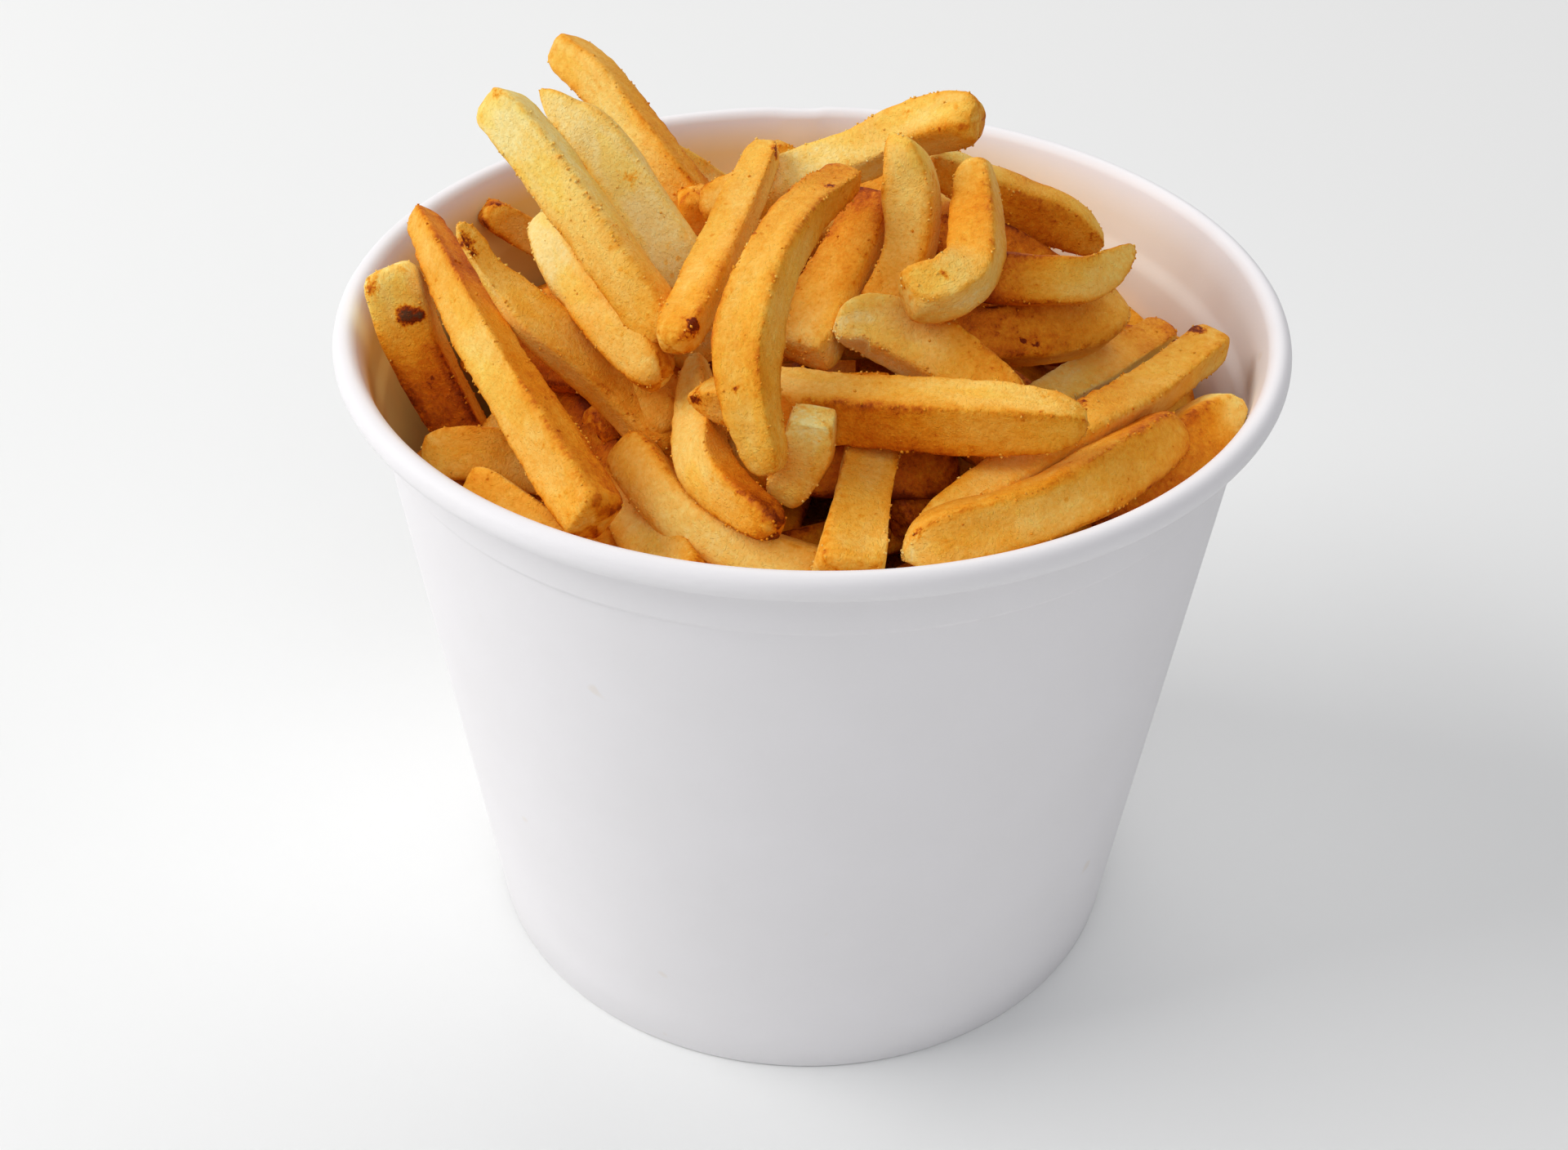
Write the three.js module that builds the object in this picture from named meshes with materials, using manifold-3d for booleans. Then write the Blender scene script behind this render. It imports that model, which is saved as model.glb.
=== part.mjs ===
// A white paperboard bucket heaped with french fries, in millimetres, +Z up.
// The origin is the centre of the foot, on the surface that the bucket stands on.
import * as THREE from 'three';
import { mergeVertices } from 'three/addons/utils/BufferGeometryUtils.js';
import Module from 'manifold-3d';

const wasm = await Module();
wasm.setup();

// ---- Driving dimensions of the bucket ----
const RIM_RADIUS = 78; // outside of the rolled rim
const HEIGHT = 122; // foot to the top of the roll
const FOOT_RADIUS = 60; // outside of the side wall at the foot
const BOARD = 0.6; // thickness of the paperboard
const ROLL_WIDTH = 4; // the rolled rim, across
const ROLL_HEIGHT = 4.4; // the rolled rim, top to bottom
const SHOULDER_DROP = 12.8; // stacking shoulder below the top of the roll
const SHOULDER_STEP = 0.7; // how far the shoulder steps out
const SHOULDER_RISE = 1.2; // over what height it does so
const BASE_LIFT = 8; // underside of the bottom disc above the foot
const HEM_HEIGHT = 7; // the folded hem that grips the disc's skirt
const GAP = 0.3; // clearance between pieces that touch
const TURNS = 60; // facets round the bucket

// ---- Driving dimensions of the heap ----
const FRY = 8.5; // side of the plain fries of the bed
const END_ROUNDING = 3; // length over which a fry's end is rounded
const PACKED_EDGE = 88; // top of the packed fries at the wall
const PACKED_CROWN = 118; // top of the packed fries in the middle
const BED_FRIES = 12; // loose fries that lie on the packed ones
const BED_LENGTH = 46;
const CLEARANCE = 0.4; // between the fries and the wall
const HEAP_TOP = 170; // above every fry

// ---- What follows from them ----
const ROLL_FOOT = HEIGHT - ROLL_HEIGHT;
const ROLL_MIDDLE = HEIGHT - ROLL_HEIGHT / 2;
const WALL_TOP_RADIUS = RIM_RADIUS - ROLL_WIDTH + BOARD / 2;
const TAPER = (WALL_TOP_RADIUS - SHOULDER_STEP - FOOT_RADIUS) / HEIGHT;
const SHOULDER_TOP = HEIGHT - SHOULDER_DROP;
const SHOULDER_FOOT = SHOULDER_TOP - SHOULDER_RISE;
const GROOVE = BOARD + 2 * GAP; // the slot that the disc's skirt stands in
const HEM_WIDTH = 2 * BOARD + GROOVE;
const FLOOR = BASE_LIFT + BOARD; // top of the bottom disc

// Outside radius of the side wall at a height, stacking shoulder included.
function wallRadius(z) {
  const step = THREE.MathUtils.clamp((z - SHOULDER_FOOT) / SHOULDER_RISE, 0, 1);
  return FOOT_RADIUS + TAPER * z + SHOULDER_STEP * step;
}

// Free radius inside the side wall at a height.
function insideRadius(z) {
  return wallRadius(z) - BOARD;
}

// A round piece from its profile of [radius, height] pairs, listed anticlockwise.
// A profile that touches the axis starts and ends on it; any other is closed here.
function lathe(profile) {
  const points = profile.map(([radius, z]) => new THREE.Vector2(radius, z));
  if (profile[0][0] > 0) points.push(points[0].clone());
  return new THREE.LatheGeometry(points, TURNS).rotateX(Math.PI / 2);
}

// Side wall: folded hem with its groove, tapered board, stacking shoulder, rolled rim.
function bucketWall() {
  const roll = [];
  for (let degrees = -90; degrees <= 180; degrees += 45) {
    const angle = THREE.MathUtils.degToRad(degrees);
    const across = (ROLL_WIDTH / 2) * (Math.cos(angle) - 1);
    const up = (ROLL_HEIGHT / 2) * Math.sin(angle);
    roll.push([RIM_RADIUS + across, ROLL_MIDDLE + up]);
  }
  return lathe([
    [FOOT_RADIUS, 0],
    [wallRadius(SHOULDER_FOOT), SHOULDER_FOOT],
    [wallRadius(SHOULDER_TOP), SHOULDER_TOP],
    [wallRadius(ROLL_FOOT), ROLL_FOOT],
    ...roll,
    [insideRadius(ROLL_FOOT), ROLL_FOOT],
    [insideRadius(SHOULDER_TOP), SHOULDER_TOP],
    [insideRadius(SHOULDER_FOOT), SHOULDER_FOOT],
    [insideRadius(BOARD), BOARD],
    [insideRadius(BOARD) - GROOVE, BOARD],
    [insideRadius(HEM_HEIGHT) - GROOVE, HEM_HEIGHT],
    [insideRadius(HEM_HEIGHT) - GROOVE - BOARD, HEM_HEIGHT],
    [FOOT_RADIUS - HEM_WIDTH, 0],
  ]);
}

// Bottom disc: one sheet, with a skirt turned down into the groove of the hem.
function bucketBase() {
  const skirtFoot = BOARD + GAP;
  return lathe([
    [0, BASE_LIFT],
    [insideRadius(BASE_LIFT) - GAP - BOARD, BASE_LIFT],
    [insideRadius(skirtFoot) - GAP - BOARD, skirtFoot],
    [insideRadius(skirtFoot) - GAP, skirtFoot],
    [insideRadius(FLOOR) - GAP, FLOOR],
    [0, FLOOR],
  ]);
}

// ---- The fries ----
// A fry is a cut potato stick, written as
// [[width, thickness, turn], [head, tail], place, place, ...]:
// - its middle runs through the places, each [x, y, z] with a fourth number where it
//   is thinner or fatter than the rest;
// - turn is in degrees about that line, from the broad side facing up and to the front;
// - head and tail say how blunt the two ends are, 1 for cut square.
const FACING = new THREE.Vector3(0, -0.8, 0.6);

// The top of the heap, from the tall ones at the left round to the right.
const TOP_FRIES = [
  [[7.3, 6.2, 30], [0.75, 0.9],
    [-47, 57.5, 141, 0.95], [-39.5, 49, 138.5, 1.05], [-32, 39.5, 134, 1.05], [-25.5, 32, 129],
     [-18.5, 29, 121]],
  [[8, 7.5, 20], [0.6, 0.9], [-51, 5, 153], [-44, -2, 149], [-22, -26, 129, 0.9]],
  [[9, 6, 12], [0.4, 0.9],
    [-44.5, 15.5, 150.5, 0.3], [-41, 13.5, 148, 0.6], [-35, 10.5, 143.5], [-24, 0, 132],
     [-18, -4, 124]],
  [[6.4, 6.4, 10], [0.75, 0.9], [-59.5, 38.5, 117.5, 0.95], [-53.5, 40, 112.5], [-45, 41.5, 105.5]],
  [[8.5, 7.5, 20], [0.5, 0.75],
    [-43.5, 4, 134, 0.9], [-39.5, -7, 131.5], [-30, -21, 127.5], [-23, -30, 124, 0.85]],
  [[8, 6.5, 35], [0.4, 1],
    [-65.5, 9, 131.5, 0.5], [-59, -5, 129, 0.85], [-50, -23, 125.5, 1.05], [-31, -55, 115.5, 1.05]],
  [[8.6, 5, -30], [0.5, 0.9],
    [-54.5, -12, 140, 0.4], [-50.5, -14.5, 134.5, 0.5], [-47, -16, 131, 0.75], [-41.5, -19, 126.5],
     [-30.5, -19.5, 117.5, 1.25], [-20, -24, 109.5, 1.5]],
  [[8.4, 7.5, 10], [0.8, 1], [-68.5, -5, 128], [-63.5, -9.5, 114.5], [-56.5, -14, 102]],
  [[8.5, 8, 0], [0.6, 0.9], [-60.5, -26.5, 106.5, 0.9], [-52, -27, 107.5], [-39, -27, 103.5]],
  [[7, 7, 0], [0.5, 0.9], [-50.5, -42.5, 112, 0.9], [-46.5, -46, 112], [-30, -56, 107]],
  [[9, 8, 0], [0.8, 1], [-50, 8, 101], [-34.5, -18.5, 102], [-25.5, -41, 104], [-18, -58, 104.5]],
  [[8.5, 7.5, 8], [0.5, 0.9], [-29, -29, 111, 0.9], [-15.5, -49, 109], [12, -60, 105]],
  [[7.8, 6.3, 35], [0.6, 0.7],
    [-18, -20, 122, 0.45], [-17, -33, 118, 0.95], [-14.5, -45, 117, 1.05], [-5, -57, 116, 0.7]],
  [[8.6, 7.4, 25], [0.8, 0.75],
    [5.5, -4, 145.5, 0.7], [-1.5, -18, 146, 0.85], [-6.5, -32, 144, 0.85], [-9, -42, 138.5],
     [-8.5, -48, 132.5, 0.9], [-5.5, -53, 123, 0.7]],
  [[7.6, 6, 25], [0.5, 0.6], [-7.5, 17.5, 141, 0.7], [-15.5, -16, 135.5], [-20.5, -34, 132.5, 0.8]],
  [[6, 6, 0], [0.5, 1], [-7, 19.5, 139, 0.8], [1, 25, 128]],
  [[8.2, 7, -20], [0.9, 0.8],
    [-18, 20, 128, 0.9], [-3, 16, 135.5, 0.95], [8, 15.5, 140.5, 0.9], [15, 14, 145],
     [21.5, 10.5, 148.5, 1.05], [26, 7.5, 150]],
  [[8.4, 6.5, 15], [0.3, 0.8],
    [12, -1.5, 151.5, 0.3], [13.5, -3.5, 149, 0.7], [15, -5, 144], [15.5, -8.5, 138, 0.9],
     [14, -12, 133, 0.8], [10.5, -16.5, 128, 0.8]],
  [[7, 6.5, 25], [0.95, 1],
    [25.5, 0.5, 145, 0.9], [25.5, -8, 141.5, 1.1], [24.5, -18.5, 138.5, 1.1], [20.5, -25, 138, 1.1],
     [14.5, -27.5, 137.5]],
  [[8, 8, 0], [0.8, 1], [17, 14.5, 125.5], [30, 14.5, 124.5], [45, 14.5, 114.5]],
  [[8, 6.5, 35], [0.9, 0.5],
    [19.5, 19.5, 137, 0.8], [34.5, 20, 129], [43, 21, 125.5, 0.95], [50, 21, 121, 0.7]],
  [[8, 6.5, 8], [0.9, 0.4],
    [24, -13, 133.5, 0.9], [37.5, -12.5, 132.5, 0.95], [45, -8, 131, 0.95], [52, 0, 132, 0.35]],
  [[9.3, 8, 0], [0.9, 0.7], [15, -16, 125], [26.5, -16, 124], [43.5, -6, 121], [50, 3, 120, 0.9]],
  [[7.2, 5.8, -25], [0.9, 0.9],
    [35.5, -17, 110.5], [41.5, -10, 110.5], [50, -2, 111], [60.5, 10.5, 110.5, 0.95]],
  [[7.4, 6.6, 35], [0.95, 0.5],
    [65.5, -5.5, 117.5, 0.95], [52, -23, 118], [37, -40, 120], [17, -55, 114, 0.7]],
  [[9.2, 8, 10], [0.5, 0.9],
    [13.5, -61, 114, 0.55], [20, -59, 116], [34, -54, 118], [45.5, -43.5, 118],
     [55.5, -29.5, 115.5, 0.9]],
  [[9.5, 8, 0], [0.6, 1], [68.5, -21.5, 114, 0.9], [61, -26, 111, 1.1], [43.5, -45, 107, 1.1]],
  [[9.5, 8, -10], [0.5, 0.9], [4, -24, 129, 0.6], [9, -22, 129, 0.9], [17.5, -25, 127], [30, -34, 122]],
  [[8.8, 8.2, 40], [0.5, 0.6],
    [-18, -34.5, 123.5, 0.35], [-8, -37.5, 125, 0.95], [10, -41.5, 126], [30, -47, 128.5, 0.9],
     [39, -49, 129.5, 0.6]],
  [[8.1, 7.5, 0], [0.9, 0.8], [0.5, -47.5, 129, 0.95], [-0.5, -47, 121.5], [-3.5, -47, 114.5, 0.8]],
  [[9.5, 7, 0], [1, 1], [11, -28, 120], [6, -64, 113]],
  [[9.2, 7.2, 25], [0.8, 0.9], [10.5, 2, 138.5], [-1.5, -22, 124.5]],
  [[6, 5, 0], [0.7, 1], [-27, 38, 129.5, 0.9], [-16, 43, 119]],
  [[5.2, 5.5, 0], [0.9, 1], [-21, 26, 127], [-19.5, 27.5, 118]],
  [[8, 8, 0], [0.9, 1], [13, -40, 106], [22, -32, 106.5], [42, -10, 103]],
  [[7, 7, 0], [0.9, 1], [-4, -26, 119], [12, -26, 119]],
];

// The back slope of the heap.
const BACK_FRIES = [
  [[9, 8, 0], [0.8, 0.8], [-2, 30, 117], [2, 46, 115], [7, 62, 109]],
  [[9, 8, 10], [0.8, 0.7], [-14, 30, 114], [-18, 46, 109], [-24, 59, 100]],
  [[9.5, 8, -10], [0.8, 0.6], [13, 30, 120], [19, 45, 117], [24, 58, 111]],
  [[9, 9, 0], [0.8, 0.8], [31, 30, 114], [36, 42, 109], [40, 52, 101]],
  [[9, 8, 0], [0.8, 0.8], [-28, 28, 110], [-38, 38, 104], [-48, 44, 96]],
  [[9, 8, 0], [0.8, 0.8], [-32, 6, 108], [-46, 18, 104], [-57, 22, 97]],
  [[9, 8, 0], [0.6, 0.8], [-31, 55, 99], [-14, 64, 101], [5, 64, 103]],
  [[9, 9, 0], [0.8, 0.8], [9, 64, 98], [26, 58, 100], [41, 52, 97]],
  [[8.5, 8, 0], [0.8, 0.8], [44, 47, 96], [56, 36, 97], [62, 22, 93]],
  [[9, 8, 0], [0.8, 0.8], [-57, 28, 95], [-47, 40, 97], [-34, 53, 94]],
  [[8, 8, 0], [0.8, 0.8], [60, -2, 92], [63, 8, 97], [61, 20, 101]],
  [[9, 8, 0], [0.8, 0.8], [38, 30, 110], [48, 22, 106], [58, 10, 98]],
  [[9, 8, 0], [0.8, 0.8], [-11, 4, 126], [-8, 36, 116]],
  [[9, 9, 0], [0.8, 0.8], [9, -6, 127], [10, 10, 127], [12, 28, 122]],
  [[9, 9, 0], [0.8, 0.8], [26, -2, 122], [27, 12, 121], [28, 30, 116]],
  [[9, 8, 0], [0.8, 0.8], [-30, 2, 120], [-26, 18, 119], [-20, 36, 115]],
  [[8.5, 8, 0], [0.7, 0.8], [-8, 56, 112], [6, 60, 114], [22, 52, 111]],
  [[7.5, 7.5, 0], [0.7, 0.8], [-34.5, 33, 115], [-24, 40, 116], [-16, 41, 114]],
];

// The bed: plain fries laid round the bucket like the seeds of a sunflower, each one
// nearly along the wall at the rim and at any angle in the middle.
function bedFries() {
  const goldenAngle = Math.PI * (3 - Math.sqrt(5));
  const reach = insideRadius(PACKED_EDGE) - FRY;
  const fries = [];
  for (let k = 0; k < BED_FRIES; k++) {
    const outward = Math.sqrt((k + 0.5) / BED_FRIES);
    const spin = k * goldenAngle;
    const heading = spin + Math.PI / 2 + (1 - outward) * k + 0.5 * Math.sin(2.9 * k);
    const half = BED_LENGTH / 2 + 5 * Math.sin(2.3 * k);
    const tilt = 0.18 * Math.sin(3.1 * k);
    const middle = new THREE.Vector3(
      reach * outward * Math.cos(spin),
      reach * outward * Math.sin(spin),
      packedTop(reach * outward) + FRY / 4 + 2 * Math.sin(1.7 * k),
    );
    const along = new THREE.Vector3(Math.cos(heading), Math.sin(heading), tilt).setLength(half);
    const start = middle.clone().sub(along);
    const end = middle.clone().add(along);
    fries.push([[FRY, FRY, 0], [0.85, 0.85], start.toArray(), end.toArray()]);
  }
  return fries;
}

// Height of the packed fries, a low dome, at a distance from the axis.
function packedTop(radius) {
  const share = radius / RIM_RADIUS;
  return PACKED_CROWN - (PACKED_CROWN - PACKED_EDGE) * share * share;
}

// The packed fries under the loose ones, wider than the bucket until it is cut to fit.
function packedFries() {
  const steps = 3;
  const dome = [];
  for (let i = steps; i >= 0; i--) {
    const radius = (RIM_RADIUS * i) / steps;
    dome.push([radius, packedTop(radius)]);
  }
  return lathe([[0, 0], [RIM_RADIUS, 0], ...dome]);
}

// The room that the fries may fill: the inside of the bucket and the air above it.
function room() {
  const fit = (z) => [insideRadius(z) - CLEARANCE, z];
  return lathe([
    [0, FLOOR + GAP],
    fit(FLOOR + GAP),
    fit(SHOULDER_FOOT),
    fit(SHOULDER_TOP),
    fit(ROLL_FOOT),
    [insideRadius(ROLL_FOOT) - CLEARANCE, HEAP_TOP],
    [0, HEAP_TOP],
  ]);
}

// One stick as a closed surface: square rings along its middle, with flat ends.
function fryGeometry([[wide, thick, turn], [head, tail], ...places]) {
  const path = new THREE.CatmullRomCurve3(places.map(([x, y, z]) => new THREE.Vector3(x, y, z)));
  const girths = places.map((place) => place[3] ?? 1);
  const length = path.getLength();
  const spans = places.length > 2 ? places.length : 1;
  const rounding = END_ROUNDING / length;
  const stations = [0];
  for (let i = 0; i <= spans; i++) stations.push(THREE.MathUtils.lerp(rounding, 1 - rounding, i / spans));
  stations.push(1);

  const corners = [[1, 1], [-1, 1], [-1, -1], [1, -1]];
  const sides = corners.length;
  const positions = [];
  for (const station of stations) {
    const middle = path.getPointAt(station);
    const along = path.getTangentAt(station);
    const up = FACING.clone().projectOnPlane(along).normalize();
    up.applyAxisAngle(along, THREE.MathUtils.degToRad(turn));
    const across = along.clone().cross(up);
    const place = path.getUtoTmapping(station) * (girths.length - 1);
    const before = Math.min(Math.floor(place), girths.length - 2);
    let girth = THREE.MathUtils.lerp(girths[before], girths[before + 1], place - before);
    if (station === 0) girth *= head;
    if (station === 1) girth *= tail;
    for (const [a, b] of corners) {
      const point = middle.clone();
      point.addScaledVector(up, (a * girth * thick) / 2);
      point.addScaledVector(across, (b * girth * wide) / 2);
      positions.push(...point.toArray());
    }
  }

  const faces = [];
  for (let ring = 0; ring < stations.length - 1; ring++) {
    for (let i = 0; i < sides; i++) {
      const a = ring * sides + i;
      const b = ring * sides + ((i + 1) % sides);
      faces.push(a, b, b + sides, a, b + sides, a + sides);
    }
  }
  const last = (stations.length - 1) * sides;
  for (let i = 1; i < sides - 1; i++) {
    faces.push(0, i + 1, i);
    faces.push(last, last + i, last + i + 1);
  }
  const geometry = new THREE.BufferGeometry();
  geometry.setAttribute('position', new THREE.Float32BufferAttribute(positions, 3));
  geometry.setIndex(faces);
  return geometry;
}

// ---- Joining and cutting ----
function toSolid(geometry) {
  geometry.deleteAttribute('normal');
  geometry.deleteAttribute('uv');
  const welded = mergeVertices(geometry);
  return new wasm.Manifold(new wasm.Mesh({
    numProp: 3,
    vertProperties: Float32Array.from(welded.attributes.position.array),
    triVerts: Uint32Array.from(welded.index.array),
  }));
}

function toGeometry(solid) {
  const mesh = solid.getMesh();
  const geometry = new THREE.BufferGeometry();
  geometry.setAttribute('position', new THREE.BufferAttribute(mesh.vertProperties, 3));
  geometry.setIndex(new THREE.BufferAttribute(mesh.triVerts, 1));
  return geometry;
}

// The whole heap as one solid, without the air pockets shut in between its fries.
function heap() {
  const fries = [...TOP_FRIES, ...BACK_FRIES, ...bedFries()];
  const joined = fries.reduce((solid, fry) => solid.add(toSolid(fryGeometry(fry))), toSolid(packedFries()));
  const bodies = joined.intersect(toSolid(room())).decompose();
  const filled = bodies.filter((body) => body.volume() > 0);
  return toGeometry(filled.reduce((solid, body) => solid.add(body)));
}

// ---- The assembled object ----
function piece(name, geometry, color, roughness) {
  const material = new THREE.MeshStandardMaterial({ color, roughness, metalness: 0 });
  const mesh = new THREE.Mesh(geometry, material);
  mesh.name = name;
  return mesh;
}

const bucketOfFries = new THREE.Group();
bucketOfFries.name = 'bucket_of_fries';
bucketOfFries.add(
  piece('bucket_wall', bucketWall(), 0xe9e6e2, 0.75),
  piece('bucket_base', bucketBase(), 0xe9e6e2, 0.75),
  piece('fries', heap(), 0xd9a24a, 0.6),
);

export default bucketOfFries;
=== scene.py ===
# %% [markdown]
# # A bucket of french fries
#
# A takeaway bucket is rolled from white paperboard and heaped with thick-cut fries.
# The frame gives its plain solids: the side wall, the bottom disc, and one solid for
# the whole heap. Here the bucket is lathed again with a smooth roll and a glued seam,
# and the heap becomes separate fries that lie on a smaller core. The bucket's width and
# height are read from the frame, so that the new pieces fit where the solids were.

import math

import bpy
import numpy as np
from mathutils import Matrix, Vector


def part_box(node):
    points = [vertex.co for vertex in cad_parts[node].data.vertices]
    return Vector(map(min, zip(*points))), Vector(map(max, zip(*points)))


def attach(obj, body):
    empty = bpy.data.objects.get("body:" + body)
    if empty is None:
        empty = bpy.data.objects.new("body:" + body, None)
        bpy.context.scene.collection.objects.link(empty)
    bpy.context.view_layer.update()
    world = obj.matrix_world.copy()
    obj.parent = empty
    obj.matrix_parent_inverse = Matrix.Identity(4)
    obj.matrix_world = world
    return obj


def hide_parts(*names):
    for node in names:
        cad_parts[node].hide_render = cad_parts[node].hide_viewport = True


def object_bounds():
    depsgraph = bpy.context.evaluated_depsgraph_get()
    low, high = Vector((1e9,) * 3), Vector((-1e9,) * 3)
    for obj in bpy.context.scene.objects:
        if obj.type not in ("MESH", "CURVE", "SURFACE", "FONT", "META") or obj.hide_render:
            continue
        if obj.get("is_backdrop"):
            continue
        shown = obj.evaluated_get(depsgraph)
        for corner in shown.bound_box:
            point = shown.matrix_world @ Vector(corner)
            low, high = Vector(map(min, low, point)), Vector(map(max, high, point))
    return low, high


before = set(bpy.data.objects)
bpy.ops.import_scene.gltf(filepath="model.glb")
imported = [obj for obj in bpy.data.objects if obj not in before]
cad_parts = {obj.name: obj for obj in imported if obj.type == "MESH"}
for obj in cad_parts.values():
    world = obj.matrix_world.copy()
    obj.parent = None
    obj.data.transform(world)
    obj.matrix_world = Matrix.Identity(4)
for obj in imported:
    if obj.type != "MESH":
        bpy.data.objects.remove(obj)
cad_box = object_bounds()

MM = 0.001  # places and sizes below are in millimetres, and Blender works in metres

wall_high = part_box("bucket_wall")[1]
RIM_RADIUS = wall_high.x
HEIGHT = wall_high.z
print(f"bucket {2000 * RIM_RADIUS:.1f} mm across the rim and {1000 * HEIGHT:.1f} mm high")

# %% [markdown]
# ## The camera
#
# Food like this is shot from the height of someone about to reach in. The camera looks
# down at 37 degrees through a 45 mm lens, which keeps the front of the rim wide and
# still shows the inside of the bucket behind the heap.

# %% The camera
scene = bpy.context.scene

PAN = -0.0146  # in radians, like the two below
PITCH = 0.6459
TILT = 0.0092
EYE = Vector((0, -285.9, 279.9)) * MM

forward = Vector((math.sin(PAN) * math.cos(PITCH), math.cos(PAN) * math.cos(PITCH), -math.sin(PITCH)))
level = Vector((math.cos(PAN), -math.sin(PAN), 0))
upright = level.cross(forward)
right = level * math.cos(TILT) + upright * math.sin(TILT)
up = upright * math.cos(TILT) - level * math.sin(TILT)

camera_data = bpy.data.cameras.new("camera")
camera_data.lens = 45
camera_data.sensor_width = 36
camera_data.clip_start = 0.01
camera = bpy.data.objects.new("camera", camera_data)
camera.matrix_world = Matrix.Translation(EYE) @ Matrix((right, up, -forward)).transposed().to_4x4()
scene.collection.objects.link(camera)
scene.camera = camera
print("camera", [round(c, 3) for c in camera.location])

# %% [markdown]
# ## The light
#
# The main light is large and soft and stands to the left, as a window would. A weaker
# one behind the bucket lights the far side of the floor, another in front fills the
# shadows, and the pale room does the rest. All are wide for their distance, so every
# shadow has a soft border.

# %% The light
HEART = Vector((0, 0, 0.09))  # a point low in the heap, in metres, that every light is aimed at

scene.view_settings.view_transform = "Standard"

room = bpy.data.worlds.new("pale_room")
room.use_nodes = True
room_light = room.node_tree.nodes["Background"].inputs
room_light["Color"].default_value = (0.93, 0.93, 1.0, 1.0)
room_light["Strength"].default_value = 0.22
scene.world = room


def window(name, place, size, watts, tint):
    """A square soft light at a place, aimed at the heap."""
    light = bpy.data.lights.new(name, "AREA")
    light.size = size
    light.energy = watts
    light.color = tint
    lamp = bpy.data.objects.new(name, light)
    lamp.location = place
    lamp.rotation_euler = (HEART - Vector(place)).to_track_quat("-Z", "Y").to_euler()
    scene.collection.objects.link(lamp)


window("window_light", (-1.36, -0.05, 1.1), size=1.2, watts=20.3, tint=(1.0, 0.99, 0.975))
window("back_light", (0.15, 1.2, 1.3), size=1.6, watts=12.0, tint=(1.0, 0.985, 0.965))
window("front_light", (0.2, -1.02, 1.43), size=1.2, watts=7.8, tint=(0.985, 0.99, 1.0))

# %% [markdown]
# ## Writing finishes as sums
#
# A material is a chain of nodes, and chains of Math nodes are hard to read. A small
# class wraps the output of a node, so that an expression such as 1 - mask adds the
# nodes by itself. Every other node comes from one method, which takes the node's type,
# its settings, and what goes into its sockets.


# %% Sockets as values
class Signal:
    """What comes out of one socket: a number, a vector or a colour that varies over the surface."""

    def __init__(self, finish, socket):
        self.finish = finish
        self.socket = socket

    def maths(self, operation, first, second):
        return self.finish.node("ShaderNodeMath", {"operation": operation}, {0: first, 1: second})

    def __add__(self, other):
        return self.maths("ADD", self, other)

    def __sub__(self, other):
        return self.maths("SUBTRACT", self, other)

    def __rsub__(self, other):
        return self.maths("SUBTRACT", other, self)

    def __mul__(self, other):
        return self.maths("MULTIPLY", self, other)

    def __pow__(self, other):
        return self.maths("POWER", self, other)

    def __rpow__(self, other):
        return self.maths("POWER", other, self)

    __radd__ = __add__
    __rmul__ = __mul__

    def between(self, low, high):
        """0 below low, 1 above high, and smooth in between."""
        sockets = {"Value": self, "From Min": low, "From Max": high}
        return self.finish.node("ShaderNodeMapRange", {"interpolation_type": "SMOOTHSTEP"}, sockets)


print("a signal can be added, subtracted, multiplied and raised to a power")


# %% A finish, node by node
class Finish:
    """A procedural material that is put together node by node."""

    def __init__(self, name):
        self.material = bpy.data.materials.new(name)
        self.material.use_nodes = True
        self.tree = self.material.node_tree
        self.tree.nodes.clear()

    def node(self, kind, settings=None, sockets=None, out=0):
        """Adds a node: its settings first, then the values or links of its sockets."""
        node = self.tree.nodes.new(kind)
        for name, value in (settings or {}).items():
            if name == "stops":
                ramp = node.color_ramp.elements
                while len(ramp) < len(value):
                    ramp.new(0.5)
                for stop, (position, tone) in zip(ramp, value):
                    stop.position = position
                    stop.color = tone
            else:
                setattr(node, name, value)
        for name, value in (sockets or {}).items():
            if isinstance(value, Signal):
                self.tree.links.new(value.socket, node.inputs[name])
            else:
                node.inputs[name].default_value = value
        return Signal(self, node.outputs[out]) if node.outputs else None  # the last node has none

    def attribute(self, name, out="Fac"):
        """What the mesh has stored at each point under a name."""
        return self.node("ShaderNodeAttribute", {"attribute_name": name}, out=out)

    def noise(self, place, scale, detail=2.0, roughness=0.5):
        sockets = {"Vector": place, "Scale": scale, "Detail": detail, "Roughness": roughness}
        return self.node("ShaderNodeTexNoise", {"noise_dimensions": "3D"}, sockets)

    def stretch(self, place, factors):
        """A vector scaled by its own factor along each axis."""
        return self.node("ShaderNodeVectorMath", {"operation": "MULTIPLY"}, {0: place, 1: factors})

    def blend(self, factor, first, second, how="MIX"):
        """Colours go through Mix, because a Math node would turn them grey."""
        settings = {"data_type": "RGBA", "blend_type": how}
        return self.node("ShaderNodeMix", settings, {0: factor, 6: first, 7: second}, out=2)

    def relief(self, height, distance, strength=1.0, under=None):
        """A bump from a height that varies between 0 and 1; distance is its full depth in metres."""
        sockets = {"Height": height, "Distance": distance, "Strength": strength}
        if under:
            sockets["Normal"] = under
        return self.node("ShaderNodeBump", {}, sockets)

    def surface(self, sockets):
        """The shader itself; values that are the same all over are set on its own sockets."""
        shader = self.node("ShaderNodeBsdfPrincipled", {}, sockets, out="BSDF")
        self.node("ShaderNodeOutputMaterial", {}, {"Surface": shader})


print("a finish is put together from", [name for name in vars(Finish) if not name.startswith("_")])


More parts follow.
